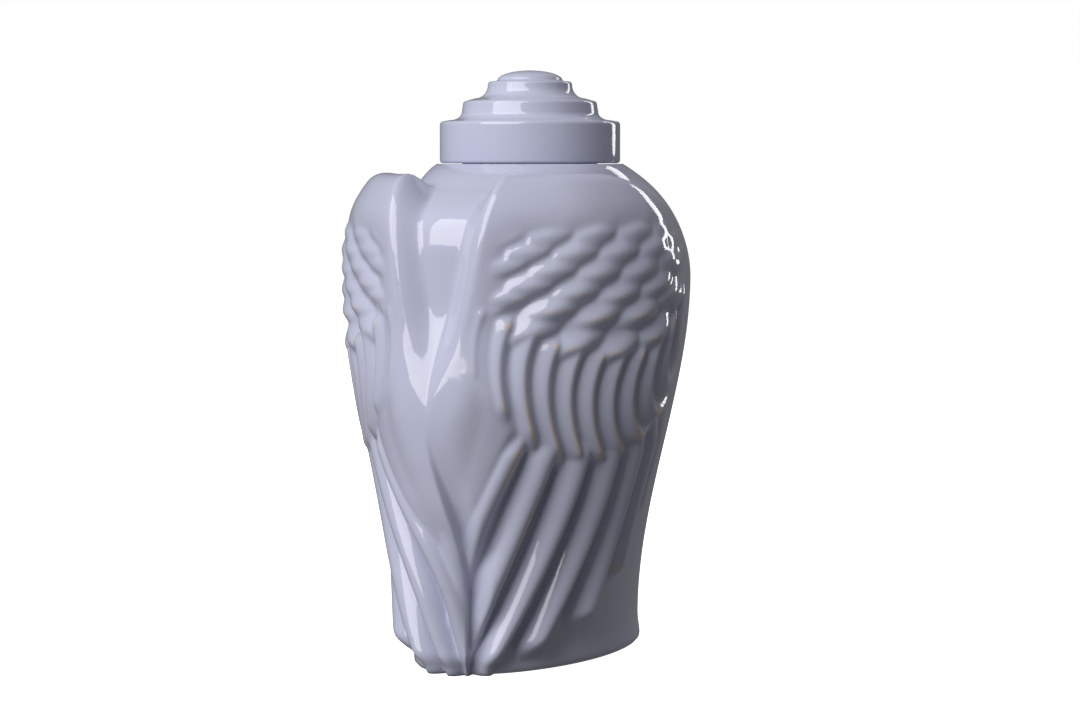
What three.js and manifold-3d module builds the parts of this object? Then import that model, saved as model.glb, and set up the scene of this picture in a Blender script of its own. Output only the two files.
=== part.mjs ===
// A white glazed ceramic urn. Two folded wings are moulded in one with its oval body, and meet in
// front in a deep V. A stepped round lid lifts off its mouth.
// Millimetres. Z is up, the V faces -Y, and the origin is the middle of the underside.

import * as THREE from 'three';
import { mergeVertices } from 'three/addons/utils/BufferGeometryUtils.js';
import Module from 'manifold-3d';

const wasm = await Module();
wasm.setup();

// Plain body
const BODY_HEIGHT = 252;
const FOOT_HALF_WIDTH = 46;
const FOOT_HALF_DEPTH = 89;
const SHOULDER_HALF_WIDTH = 81;
const SHOULDER_HALF_DEPTH = 92;
const SHOULDER_DROP = 58;
const SIDE_ROUNDNESS = 1.95;
const FRONT_ROUNDNESS = 5;
const STRAIGHT_FOOT = 12;
const SEAT_RADIUS = 48;
const FOOT_FLARE = 1.3;
const FOOT_FLARE_HEIGHT = 14;
const FOOT_EDGE = 4;
const LEVEL_FOOT = 30;

// Inside of the body
const WALL = 7;
const FLOOR_THICKNESS = 8;
const MOUTH_RADIUS = 36;
const MOUTH_LIP = 9;

// Lid
const LID_RADIUS = 46.5;
const LID_HEIGHT = 47.7;
const LID_BAND_HEIGHT = 21.5;
const MIDDLE_TIER_RADIUS = 35.2;
const MIDDLE_TIER_TOP = 32;
const UPPER_TIER_RADIUS = 21.7;
const UPPER_TIER_TOP = 42;
const KNOB_RADIUS = 16.8;
const LID_EDGE = 1.6;
const LID_WALL = 5;
const FLANGE_DEPTH = 12;
const FLANGE_THICKNESS = 5;
const FLANGE_CLEARANCE = 1.2;
const SEAT_GAP = 0.3;

// Wings. "along" is the distance around the body from its front line, measured at WRAP_RADIUS.
const WRAP_RADIUS = 75;
const WING_THICKNESS = 13;
const WING_FOOT_THICKNESS = 2.5;
const WING_FOOT_FADE = 40;
const UNDER_SMALL = 6;
const UNDER_MIDDLE = 6;
const FRONT_EXTRA = 5;
const FRONT_DROP = 20;
const FRONT_BAND = 18;
const CORE_FRONT = 32;
const CORE_TOP_FADE = 20;
const WING_REAR = 150;
const WING_REAR_FADE = 60;
const RIM_WIDTH = 12;
const MIDDLE_BLEND = 5;
const UPPER_BLEND = 12;
const FRONT_BLEND = 40;

// Lobes at the top of the wings, which stand up beside the lid
const LOBE_THICKNESS = 3;
const LOBE_FROM = 190;
const LOBE_FULL = 220;
const LOBE_FRONT = 30;
const LOBE_MIDDLE = 75;
const LOBE_REAR = 135;
const LOBE_TOP_DROP = 9.5;
const LOBE_REAR_DROP = 12;
const LOBE_ROUND = 9;

// Front of the wings: the V above the height where they meet, and the overlap below it
const MEETING_HEIGHT = 127;
const VALLEY_POINT = 160;
const VALLEY_SPREAD = 0.17;
const VALLEY_TOP_SPREAD = 24;
const VALLEY_FLOOR = 5;
const VALLEY_FLOOR_FADE = 45;
const VALLEY_POINT_RISE = 13;
const VALLEY_RISE_END = 185;
const FRONT_REACH = 55;
const FRONT_LOWER = 8;
const FRONT_UPPER = 2;
const FRONT_RISE_END = 175;
const OVERLAP_SHIFT = 17;
const OVERLAP_FADE = 95;
const OVERLAP_NEAR = 30;
const OVERLAP_FAR = 90;
const TUCK_WIDTH = 14;
const TUCK_DEPTH = 0.5;
const TUCK_FADE = 75;
const EDGE_FEATHER_ALONG = 5;
const EDGE_FEATHER_TIP = 16;
const EDGE_FEATHER_HALF_WIDTH = 11;
const EDGE_FEATHER_HEIGHT = 9.4;

// Long feathers, fanned from under the middle row down to the foot
const LONG_FEATHERS = 7;
const LONG_ROOT_HEIGHT = 115;
const LONG_ROOT_FIRST = 37;
const LONG_ROOT_PITCH = 15.9;
const LONG_FOOT_HEIGHT = 10;
const LONG_FOOT_PITCH = 12.5;
const LONG_FOOT_SPREAD = 1.9;
const LONG_BOW = 9;
const LONG_TIP_RISE = 40;
const LONG_TIP_FROM = 22;
const LONG_TIP_REACH = 88;
const LONG_TIP_BEND = 1.8;
const LONG_HEIGHT = 12;
const LONG_HALF_WIDTH = 9.4;
const LONG_TIP_LENGTH = 11;

// Smooth panel between the front edge and the first long feather
const PANEL_THICKNESS = 8;
const PANEL_FOOT = 30;
const PANEL_FULL = 90;
const PANEL_BLEND = 7;

// Middle row of upright feathers
const MIDDLE_FEATHERS = 11;
const MIDDLE_FIRST = 20.5;
const MIDDLE_PITCH = 9.6;
const MIDDLE_LENGTH = 40;
const MIDDLE_LOWEST = 104;
const MIDDLE_LOWEST_ALONG = 70;
const MIDDLE_FRONT_RISE = 0.0146;
const MIDDLE_REAR_RISE = 0.0105;
const MIDDLE_BASE = 7.5;
const MIDDLE_RIDGE = 6;
const MIDDLE_BOW = 2.5;
const MIDDLE_SUNK = 9;
const MIDDLE_SUNK_REACH = 0.3;
const MIDDLE_LEAN = 1.2;
const MIDDLE_LEAN_START = 0.35;
const MIDDLE_HALF_WIDTH = 6.2;
const MIDDLE_TIP_LENGTH = 9;

// Small overlapping feathers on the shoulder of the wing
const SMALL_ROWS = 7;
const SMALL_PER_ROW = 6;
const SMALL_FIRST = 22.5;
const SMALL_PITCH = 18.5;
const SMALL_LOWEST = 158;
const SMALL_LOWEST_ALONG = 78;
const SMALL_FRONT_RISE = 0.0065;
const SMALL_REAR_RISE = 0.0195;
const SMALL_TOP = 219;
const SMALL_BASE = 11.5;
const SMALL_RIDGE = 4.5;
const SMALL_HALF_WIDTH = 11;
const SMALL_TIP_LENGTH = 8;
const SMALL_TIP_SLANT = 0.5;
const SMALL_SLOPE = 0.45;
const SMALL_SLOPE_FROM = 3;
const SMALL_LEAN = 0.5;
const SMALL_FADE = 10;
const SMALL_FULL = 40;
const SMALL_REAR = 90;
const SMALL_FLAT_REACH = 15;
const SMALL_FLATTER = 0.6;

// How round a feather is across: a low value gives a sharp ridge and a high one a plateau
const SHARP = 1.5;
const RIDGED = 1.7;
const ROUNDED = 2.1;

// How far a feather's ridge stands towards its rear edge, as a share of its half width
const LONG_SKEW = 0.2;
const MIDDLE_SKEW = 0.35;

// Mesh steps
const WING_COLUMNS = 36;
const BACK_COLUMNS = 16;
const WALL_ROWS = 29;
const SHOULDER_ROWS = 10;
const TOP_ROW_DROP = 1.5;
const INSIDE_COLUMNS = 24;
const INSIDE_ROWS = 9;
const LID_SIDES = 32;

const clamp = (value) => Math.min(1, Math.max(0, value));

function smooth(from, to, value) {
  const t = clamp((value - from) / (to - from));
  return t * t * (3 - 2 * t);
}

function mix(a, b, share) {
  return a + (b - a) * share;
}

// The larger of two heights, with the crease between them rounded over "reach".
function softMax(a, b, reach) {
  const h = clamp(0.5 + (a - b) / (2 * reach));
  return mix(b, a, h) + reach * h * (1 - h);
}

// Half width and half depth of the plain body. It spreads from the foot to the shoulder, and closes
// from there to the lid's seat, later in front than at the sides.
function bodyRadii(z) {
  const shoulder = BODY_HEIGHT - SHOULDER_DROP;
  const spread = smooth(STRAIGHT_FOOT, shoulder, z);
  const close = clamp((z - shoulder) / SHOULDER_DROP);
  const flare = FOOT_FLARE * (1 - smooth(0, FOOT_FLARE_HEIGHT, z));
  const width = mix(FOOT_HALF_WIDTH, SHOULDER_HALF_WIDTH, spread) + flare;
  const depth = mix(FOOT_HALF_DEPTH, SHOULDER_HALF_DEPTH, spread) + flare;
  return [
    mix(width, SEAT_RADIUS, close ** SIDE_ROUNDNESS),
    mix(depth, SEAT_RADIUS, close ** FRONT_ROUNDNESS),
  ];
}

function bodyPoint(angle, z) {
  const [width, depth] = bodyRadii(z);
  return new THREE.Vector3(width * Math.sin(angle), -depth * Math.cos(angle), z);
}

// The way that the wings stand out: square to the wall, and level at the foot.
function outward(angle, z) {
  const turn = 0.01;
  const step = 0.5;
  const low = Math.max(0, Math.min(z, BODY_HEIGHT - step) - step);
  const around = bodyPoint(angle + turn, z).sub(bodyPoint(angle - turn, z));
  const up = bodyPoint(angle, low + 2 * step).sub(bodyPoint(angle, low));
  const way = around.cross(up).normalize();
  way.z *= smooth(0, LEVEL_FOOT, z);
  return way.normalize();
}

// A feather's thickness where "across" is the distance from its ridge and "back" the distance
// from its tip towards its root. "crown" is how much of its ridge is left.
function feather(across, back, halfWidth, tipLength, base, ridge, roundness, skew = 0, crown = 1) {
  const beyond = Math.max(0, tipLength - back) / tipLength;
  const side = across / (halfWidth * (across > 0 ? 1 - skew : 1 + skew));
  const swell = 1 - Math.hypot(side, beyond) ** roundness;
  return base + ridge * (crown * Math.max(0, swell) + Math.min(0, swell));
}

function middleEdge(along) {
  const off = along - MIDDLE_LOWEST_ALONG;
  return MIDDLE_LOWEST + (off < 0 ? MIDDLE_FRONT_RISE : MIDDLE_REAR_RISE) * off * off;
}

function smallEdge(along) {
  const off = along - SMALL_LOWEST_ALONG;
  return SMALL_LOWEST + (off < 0 ? SMALL_FRONT_RISE : SMALL_REAR_RISE) * off * off;
}

// Long feathers lie ever further round the foot, end ever higher, and bow back on their way down.
function longFeathers(along, z) {
  const length = LONG_ROOT_HEIGHT - LONG_FOOT_HEIGHT;
  const down = (LONG_ROOT_HEIGHT - z) / length;
  let thickest = 0;
  for (let k = 0; k < LONG_FEATHERS; k += 1) {
    const root = LONG_ROOT_FIRST + LONG_ROOT_PITCH * k;
    const foot = LONG_FOOT_PITCH * k + LONG_FOOT_SPREAD * k * k;
    const bow = k < LONG_FEATHERS - 1 ? LONG_BOW * Math.sin((Math.PI * (k - 0.2)) / (LONG_FEATHERS - 2)) : 0;
    const tipHeight = LONG_TIP_RISE * (Math.max(0, foot - LONG_TIP_FROM) / LONG_TIP_REACH) ** LONG_TIP_BEND;
    const centre = mix(root, foot, down) + bow * 4 * down * (1 - down);
    const across = (along - centre) / Math.hypot(1, (root - foot) / length);
    thickest = Math.max(thickest, feather(
      across, z - tipHeight, LONG_HALF_WIDTH, LONG_TIP_LENGTH, 0, LONG_HEIGHT, ROUNDED, LONG_SKEW));
  }
  return thickest;
}

function middleFeathers(along, z) {
  const down = (smallEdge(along) - z) / MIDDLE_LENGTH;
  let thickest = 0;
  for (let k = 0; k < MIDDLE_FEATHERS; k += 1) {
    const lean = MIDDLE_LEAN * k * down * (down - MIDDLE_LEAN_START);
    const centre = MIDDLE_FIRST + MIDDLE_PITCH * k + lean - MIDDLE_BOW * 4 * down * (1 - down);
    thickest = Math.max(thickest, feather(
      along - centre, z - middleEdge(centre), MIDDLE_HALF_WIDTH, MIDDLE_TIP_LENGTH,
      MIDDLE_BASE, MIDDLE_RIDGE, SHARP, MIDDLE_SKEW));
  }
  return thickest - MIDDLE_SUNK * smooth(0, MIDDLE_SUNK_REACH, -down);
}

// Rows of small feathers, each set off by half a feather, that fade towards the wing's front and top.
function smallFeathers(along, z) {
  let thickest = 0;
  for (let row = 0; row < SMALL_ROWS; row += 1) {
    const share = (row / (SMALL_ROWS - 1)) ** 0.75;
    for (let i = 0; i < SMALL_PER_ROW; i += 1) {
      const centre = SMALL_FIRST + SMALL_PITCH * (i + (row % 2) / 2);
      const front = smooth(SMALL_FADE, SMALL_FULL, centre - 2 * row);
      const rear = smooth(SMALL_REAR, SMALL_REAR + 2 * SMALL_FLAT_REACH, centre);
      const crown = front * (1 - SMALL_FLATTER * share) * (1 - SMALL_FLATTER * rear);
      const back = z - mix(smallEdge(centre), SMALL_TOP, share);
      const across = along - centre - SMALL_LEAN * back;
      const sunk = SMALL_SLOPE * Math.max(0, back - SMALL_SLOPE_FROM);
      const height = feather(
        across, back - SMALL_TIP_SLANT * across, SMALL_HALF_WIDTH, SMALL_TIP_LENGTH,
        SMALL_BASE, SMALL_RIDGE, RIDGED, 0, crown);
      thickest = softMax(thickest, height - sunk, 0.2);
    }
  }
  return thickest;
}

// The smooth mass of the wing: full on its shoulder, thinner under each row of feathers.
function wingCore(along, z) {
  const upperAt = mix(MEETING_HEIGHT - FRONT_DROP, smallEdge(along), smooth(2, CORE_FRONT, along));
  const reachDown = UPPER_BLEND + FRONT_BLEND * (1 - smooth(4, FRONT_REACH, along));
  const upper = smooth(-reachDown, UPPER_BLEND, z - upperAt);
  const middle = smooth(-MIDDLE_BLEND, MIDDLE_BLEND, z - middleEdge(along));
  const behindFront = smooth(FRONT_BAND, FRONT_REACH, along);
  const underTop = 1 - smooth(SMALL_TOP - CORE_TOP_FADE, SMALL_TOP, z);
  const underSmall = smooth(FRONT_BAND, 2 * FRONT_BAND, along) * underTop;
  const thickness = WING_THICKNESS - UNDER_SMALL * underSmall;
  const underMiddle = MIDDLE_BASE + FRONT_EXTRA - UNDER_MIDDLE * behindFront;
  const firstFeather = (LONG_ROOT_FIRST * (z - LONG_FOOT_HEIGHT)) / (LONG_ROOT_HEIGHT - LONG_FOOT_HEIGHT);
  const inFront = 1 - smooth(-PANEL_BLEND, PANEL_BLEND, along - firstFeather);
  const panel = PANEL_THICKNESS * smooth(PANEL_FOOT, PANEL_FULL, z) * inFront;
  const lower = WING_FOOT_THICKNESS * smooth(0, WING_FOOT_FADE, z) + panel;
  return mix(mix(lower, underMiddle, middle), thickness, upper);
}

function wingThickness(fromMiddle, along, z, onRight) {
  const edge = onRight ? 0 : feather(
    fromMiddle - EDGE_FEATHER_ALONG, z - EDGE_FEATHER_TIP, EDGE_FEATHER_HALF_WIDTH, LONG_TIP_LENGTH,
    0, EDGE_FEATHER_HEIGHT, ROUNDED);
  const rows = [edge, middleFeathers(along, z), smallFeathers(along, z), wingCore(along, z)];
  const mass = rows.reduce((a, b) => softMax(a, b, 0.4), longFeathers(along, z));
  const front = 1 - smooth(8, FRONT_REACH, along);
  const rise = smooth(0, MEETING_HEIGHT, z) * (1 - smooth(MEETING_HEIGHT, FRONT_RISE_END, z));
  const upper = smooth(MEETING_HEIGHT, FRONT_RISE_END, z);
  const lobe = LOBE_THICKNESS * smooth(LOBE_FROM, LOBE_FULL, z)
    * smooth(LOBE_FRONT, LOBE_MIDDLE, along) * (1 - smooth(LOBE_MIDDLE, LOBE_REAR, along));
  return mass + (FRONT_LOWER * rise + FRONT_UPPER * upper) * front + lobe;
}

// Distance of the wing's front edge from the middle of the V, which opens wide at the lobes.
function valleyFoot(z) {
  const over = z - VALLEY_POINT;
  if (over < 0) {
    return (RIM_WIDTH * over) / (VALLEY_POINT - MEETING_HEIGHT);
  }
  return VALLEY_SPREAD * over + VALLEY_TOP_SPREAD * (over / (BODY_HEIGHT - VALLEY_POINT)) ** 8;
}

// How far the line between the wings moves to the right below the height where they meet.
function seamShift(acrossMiddle, z) {
  const below = smooth(0, OVERLAP_FADE, MEETING_HEIGHT - z);
  return OVERLAP_SHIFT * below * (1 - smooth(OVERLAP_NEAR, OVERLAP_FAR, Math.abs(acrossMiddle)));
}

// The relief outside the plain body, at a distance across from the line between the wings. Below the
// height where they meet, the left wing lies over the right one, whose edge is tucked under it.
function relief(acrossMiddle, z) {
  const onRight = acrossMiddle > 0;
  const fromMiddle = Math.abs(acrossMiddle);
  const along = onRight ? acrossMiddle + seamShift(acrossMiddle, z) : fromMiddle;
  const thickness = wingThickness(fromMiddle, along, z, onRight);
  const rear = 1 - smooth(WING_REAR - WING_REAR_FADE, WING_REAR, along);
  if (z < MEETING_HEIGHT) {
    const tuck = TUCK_DEPTH * smooth(0, TUCK_FADE, MEETING_HEIGHT - z) * smooth(2, EDGE_FEATHER_TIP, z);
    const shareAtSeam = onRight ? 1 - tuck : 1;
    return thickness * rear * mix(shareAtSeam, 1, smooth(0, TUCK_WIDTH, fromMiddle));
  }
  const lobeTop = BODY_HEIGHT - LOBE_TOP_DROP - LOBE_REAR_DROP * smooth(LOBE_MIDDLE, LOBE_REAR, along);
  const overTop = clamp((z - lobeTop + LOBE_ROUND) / LOBE_ROUND);
  const inner = smooth(0, RIM_WIDTH, fromMiddle - valleyFoot(z));
  const faded = smooth(BODY_HEIGHT - VALLEY_FLOOR_FADE, BODY_HEIGHT - FOOT_EDGE, z);
  const raised = VALLEY_POINT_RISE * (1 - smooth(MEETING_HEIGHT, VALLEY_RISE_END, z));
  const floor = VALLEY_FLOOR * (1 - faded) + raised;
  return mix(Math.min(floor, thickness), thickness, inner * Math.sqrt(1 - overTop ** 2)) * rear;
}

// Distances of the columns from the line between the wings, which is the first column of the right
// one: close together on the wings, wide apart on the plain back.
function columns() {
  const back = 2 * (Math.PI * WRAP_RADIUS - WING_REAR);
  const distances = [];
  for (let i = -WING_COLUMNS; i < WING_COLUMNS; i += 1) {
    distances.push((WING_REAR * i) / WING_COLUMNS);
  }
  for (let i = 0; i < BACK_COLUMNS; i += 1) {
    distances.push(WING_REAR + (back * i) / BACK_COLUMNS);
  }
  return distances;
}

function rowHeights() {
  const shoulder = BODY_HEIGHT - SHOULDER_DROP;
  const heights = [];
  for (let i = 0; i <= WALL_ROWS; i += 1) {
    heights.push(mix(FOOT_EDGE, shoulder, i / WALL_ROWS));
  }
  for (let i = 1; i <= SHOULDER_ROWS; i += 1) {
    heights.push(shoulder + SHOULDER_DROP * (i / SHOULDER_ROWS) ** 0.85);
  }
  heights.splice(-1, 0, BODY_HEIGHT - TOP_ROW_DROP);
  return heights;
}

// A closed body from rings of equal length, with a fan over the first and the last ring. Columns
// below "mirrored" are cut along the other diagonal, so that the edges follow the feathers.
function closedRings(rings, mirrored = 0) {
  const count = rings[0].length;
  const positions = rings.flat().flatMap((point) => [point.x, point.y, point.z]);
  const index = [];
  for (let row = 0; row + 1 < rings.length; row += 1) {
    for (let i = 0; i < count; i += 1) {
      const next = (i + 1) % count;
      const a = row * count + i;
      const b = row * count + next;
      if (i < mirrored) {
        index.push(a, b, a + count, b, b + count, a + count);
      } else {
        index.push(a, b, b + count, a, b + count, a + count);
      }
    }
  }
  const middles = [rings[0], rings[rings.length - 1]].map((ring) => {
    const middle = new THREE.Vector3();
    ring.forEach((point) => middle.add(point));
    return middle.divideScalar(count);
  });
  middles.forEach((middle) => positions.push(middle.x, middle.y, middle.z));
  const bottom = rings.length * count;
  const top = (rings.length - 1) * count;
  for (let i = 0; i < count; i += 1) {
    const next = (i + 1) % count;
    index.push(bottom, next, i);
    index.push(bottom + 1, top + i, top + next);
  }
  const geometry = new THREE.BufferGeometry();
  geometry.setAttribute('position', new THREE.Float32BufferAttribute(positions, 3));
  geometry.setIndex(index);
  return geometry;
}

function toSolid(geometry) {
  const bare = geometry.clone();
  bare.deleteAttribute('normal');
  bare.deleteAttribute('uv');
  const merged = mergeVertices(bare, 1e-4);
  return new wasm.Manifold(new wasm.Mesh({
    numProp: 3,
    vertProperties: new Float32Array(merged.attributes.position.array),
    triVerts: new Uint32Array(merged.index.array),
  }));
}

function toGeometry(solid) {
  const mesh = solid.getMesh();
  const geometry = new THREE.BufferGeometry();
  geometry.setAttribute('position', new THREE.BufferAttribute(new Float32Array(mesh.vertProperties), 3));
  geometry.setIndex(new THREE.BufferAttribute(new Uint32Array(mesh.triVerts), 1));
  geometry.computeVertexNormals();
  return geometry;
}

function makeBody() {
  const outer = rowHeights().map((z) => columns().map((acrossMiddle) => {
    const angle = (acrossMiddle + seamShift(acrossMiddle, z)) / WRAP_RADIUS;
    return bodyPoint(angle, z).addScaledVector(outward(angle, z), relief(acrossMiddle, z));
  }));
  outer[outer.length - 1].forEach((point) => point.setZ(BODY_HEIGHT));
  const inset = 1 - (0.5 * FOOT_EDGE) / FOOT_HALF_WIDTH;
  const underside = outer[0].map((point) => new THREE.Vector3(point.x * inset, point.y * inset, 0));
  return toSolid(closedRings([underside, ...outer], WING_COLUMNS)).subtract(makeHollow());
}

// The space inside the body, from the floor up through the mouth.
function makeHollow() {
  const rings = [];
  const top = BODY_HEIGHT - MOUTH_LIP;
  for (let i = 0; i <= INSIDE_ROWS; i += 1) {
    const z = mix(FLOOR_THICKNESS, top, (i / INSIDE_ROWS) ** 0.75);
    const [width, depth] = bodyRadii(z);
    rings.push(ellipse(width - WALL, depth - WALL, z));
  }
  rings.push(ellipse(MOUTH_RADIUS, MOUTH_RADIUS, top + 1));
  rings.push(ellipse(MOUTH_RADIUS, MOUTH_RADIUS, BODY_HEIGHT + 1));
  return toSolid(closedRings(rings));
}

function ellipse(width, depth, z) {
  const ring = [];
  for (let i = 0; i < INSIDE_COLUMNS; i += 1) {
    const angle = (2 * Math.PI * i) / INSIDE_COLUMNS;
    ring.push(new THREE.Vector3(width * Math.sin(angle), -depth * Math.cos(angle), z));
  }
  return ring;
}

// A quarter turn from one point to another: "bulge" is 1 for a rounded edge and -1 for a hollow.
function quarter(from, to, bulge, steps) {
  const points = [];
  for (let i = 1; i <= steps; i += 1) {
    const turn = (Math.PI / 2) * (i / steps);
    const [x, y] = bulge > 0 ? [1 - Math.cos(turn), Math.sin(turn)] : [Math.sin(turn), 1 - Math.cos(turn)];
    points.push([mix(from[0], to[0], x), mix(from[1], to[1], y)]);
  }
  return points;
}

// Outside of the lid from its lower edge to the middle of its top: three steps and a low knob.
function lidOutside() {
  const edge = LID_EDGE;
  const band = [LID_RADIUS, LID_BAND_HEIGHT - edge];
  const bandTop = [LID_RADIUS - edge, LID_BAND_HEIGHT];
  const middleFoot = [MIDDLE_TIER_RADIUS + 4 * edge, LID_BAND_HEIGHT + 0.4 * edge];
  const middleSide = [MIDDLE_TIER_RADIUS, LID_BAND_HEIGHT + 3 * edge];
  const middleEdgePoint = [MIDDLE_TIER_RADIUS - 0.4 * edge, MIDDLE_TIER_TOP - edge];
  const middleTop = [MIDDLE_TIER_RADIUS - 1.4 * edge, MIDDLE_TIER_TOP];
  const upperFoot = [UPPER_TIER_RADIUS + 4 * edge, MIDDLE_TIER_TOP + edge];
  const upperSide = [UPPER_TIER_RADIUS, UPPER_TIER_TOP - edge];
  const upperTop = [UPPER_TIER_RADIUS - edge, UPPER_TIER_TOP];
  const knobFoot = [KNOB_RADIUS, UPPER_TIER_TOP + 0.3 * edge];
  return [
    [LID_RADIUS, 0],
    band,
    ...quarter(band, bandTop, 1, 2),
    middleFoot,
    ...quarter(middleFoot, middleSide, -1, 3),
    middleEdgePoint,
    ...quarter(middleEdgePoint, middleTop, 1, 2),
    upperFoot,
    ...quarter(upperFoot, upperSide, -1, 4),
    ...quarter(upperSide, upperTop, 1, 2),
    knobFoot,
    ...quarter(knobFoot, [0, LID_HEIGHT], 1, 5),
  ];
}

// Inside of the lid from the middle of its ceiling, over the flange that sits in the mouth, to its rim.
function lidInside() {
  const flange = MOUTH_RADIUS - FLANGE_CLEARANCE;
  const hollow = flange - FLANGE_THICKNESS;
  return [
    [0, LID_HEIGHT - LID_WALL],
    [KNOB_RADIUS - LID_WALL, UPPER_TIER_TOP - LID_WALL],
    [UPPER_TIER_RADIUS - LID_WALL, MIDDLE_TIER_TOP],
    [MIDDLE_TIER_RADIUS - 2.2 * LID_WALL, MIDDLE_TIER_TOP - LID_WALL],
    [hollow, LID_BAND_HEIGHT - 0.6 * LID_WALL],
    [hollow, -FLANGE_DEPTH],
    [flange - 1, -FLANGE_DEPTH],
    [flange, 1 - FLANGE_DEPTH],
    [flange, 0],
  ];
}

function makeLid() {
  const profile = [...lidInside(), ...lidOutside()].map(([x, y]) => new THREE.Vector2(x, y));
  const geometry = new THREE.LatheGeometry(profile, LID_SIDES);
  geometry.rotateX(Math.PI / 2);
  geometry.translate(0, 0, BODY_HEIGHT + SEAT_GAP);
  return toSolid(geometry);
}

const glaze = { color: 0xdcdfe8, roughness: 0.08, metalness: 0 };

const body = new THREE.Mesh(toGeometry(makeBody()), new THREE.MeshStandardMaterial(glaze));
body.name = 'urn_body';

const lid = new THREE.Mesh(toGeometry(makeLid()), new THREE.MeshStandardMaterial(glaze));
lid.name = 'lid';

const urn = new THREE.Group();
urn.add(body, lid);

export default urn;
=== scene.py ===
# A white glazed ceramic urn, wrapped by two folded wings that meet in front in a deep V, with a
# stepped round lid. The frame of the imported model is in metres, and the sizes here in millimetres. A
# pair of sizes is a range: where a form starts to change, and where it has changed in full.
import math
import bpy
import bmesh
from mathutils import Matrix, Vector


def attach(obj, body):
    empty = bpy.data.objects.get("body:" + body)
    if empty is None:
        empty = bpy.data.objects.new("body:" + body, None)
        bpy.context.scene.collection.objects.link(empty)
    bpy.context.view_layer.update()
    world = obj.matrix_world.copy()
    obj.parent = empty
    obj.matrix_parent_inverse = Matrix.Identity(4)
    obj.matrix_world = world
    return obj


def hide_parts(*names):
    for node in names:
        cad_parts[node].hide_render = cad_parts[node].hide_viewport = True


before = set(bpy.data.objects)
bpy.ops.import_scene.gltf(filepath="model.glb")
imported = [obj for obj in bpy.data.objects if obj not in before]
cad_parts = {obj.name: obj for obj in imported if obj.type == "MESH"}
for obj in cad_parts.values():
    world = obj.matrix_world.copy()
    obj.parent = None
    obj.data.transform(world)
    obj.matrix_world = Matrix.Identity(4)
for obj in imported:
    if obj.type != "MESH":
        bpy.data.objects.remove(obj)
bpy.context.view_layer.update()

# Body
# A hollow vessel of slip-cast stoneware, oval at the foot and nearly round at the shoulder. Both
# wings are carved in the same mould, and a thick glaze rounds every edge of the feathers.
BODY_HEIGHT = 252
FOOT_HALF_WIDTH = 46
FOOT_HALF_DEPTH = 89
SHOULDER_HALF_WIDTH = 81
SHOULDER_HALF_DEPTH = 92
SHOULDER_DROP = 58
SIDE_ROUNDNESS = 1.95
FRONT_ROUNDNESS = 5
STRAIGHT_FOOT = 12
FOOT_FLARE = 1.3
FOOT_FLARE_HEIGHT = 14
FOOT_EDGE_HEIGHT = 4
FOOT_EDGE_DEPTH = 2
SEAT_RADIUS = 48
MOUTH_RADIUS = 36
WALL = 7
FLOOR_THICKNESS = 8
MM = 0.001


def add_node(tree, kind, links=None, **settings):
    """Add a node, set it up, and feed each of its named or numbered inputs from a socket or a value."""
    node = tree.nodes.new(kind)
    for name, value in settings.items():
        setattr(node, name, value)
    for key, value in (links or {}).items():
        value = getattr(value, "socket", value)
        if isinstance(value, bpy.types.NodeSocket):
            tree.links.new(value, node.inputs[key])
        else:
            node.inputs[key].default_value = value
    return node


class Field:
    """A number that a tree works out at each point, so that a rule reads as it would on paper."""

    def __init__(self, socket):
        self.socket = socket

    def __add__(self, other):
        return maths("ADD", self, other)

    def __sub__(self, other):
        return maths("SUBTRACT", self, other)

    def __rsub__(self, other):
        return maths("SUBTRACT", other, self)

    def __mul__(self, other):
        return maths("MULTIPLY", self, other)

    def __truediv__(self, other):
        return maths("DIVIDE", self, other)

    def __pow__(self, other):
        return maths("POWER", self, other)

    __radd__ = __add__
    __rmul__ = __mul__


def maths(operation, *values):
    tree = next(value.socket.id_data for value in values if isinstance(value, Field))
    return Field(add_node(tree, "ShaderNodeMath", dict(enumerate(values)), operation=operation).outputs[0])


def smooth(start, end, value):
    """Run from 0 at the start to 1 at the end, with no corner at either."""
    tree = value.socket.id_data
    links = {"Value": value, "From Min": start, "From Max": end}
    return Field(add_node(tree, "ShaderNodeMapRange", links, interpolation_type="SMOOTHSTEP").outputs[0])


def mix(start, end, share):
    return (end - start) * share + start


def choose(test, when_true, when_false):
    """Pick one of two values: the test is 1 or 0 at each point."""
    return mix(when_false, when_true, test)


def largest(values, reach):
    """The largest value, with the crease between two of them rounded over the reach."""
    result = values[0]
    for value in values[1:]:
        result = maths("SMOOTH_MAX", result, value, reach)
    return result


def size(tree, name, millimetres):
    """A named input of the tree that holds one of the object's sizes."""
    socket = tree.interface.new_socket(name, in_out="INPUT", socket_type="NodeSocketFloat")
    socket.default_value = millimetres
    inputs = [node for node in tree.nodes if node.bl_idname == "NodeGroupInput"]
    return Field((inputs or [tree.nodes.new("NodeGroupInput")])[0].outputs[name])


def repeat(tree, times, step):
    """Run step(number, thickest so far) for each feather in turn, and return the last result."""
    start = tree.nodes.new("GeometryNodeRepeatInput")
    end = tree.nodes.new("GeometryNodeRepeatOutput")
    start.pair_with_output(end)
    end.repeat_items.clear()
    end.repeat_items.new("FLOAT", "Thickest")
    start.inputs["Iterations"].default_value = times
    result = step(Field(start.outputs["Iteration"]), Field(start.outputs["Thickest"]))
    tree.links.new(result.socket, end.inputs["Thickest"])
    return Field(end.outputs["Thickest"])


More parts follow.
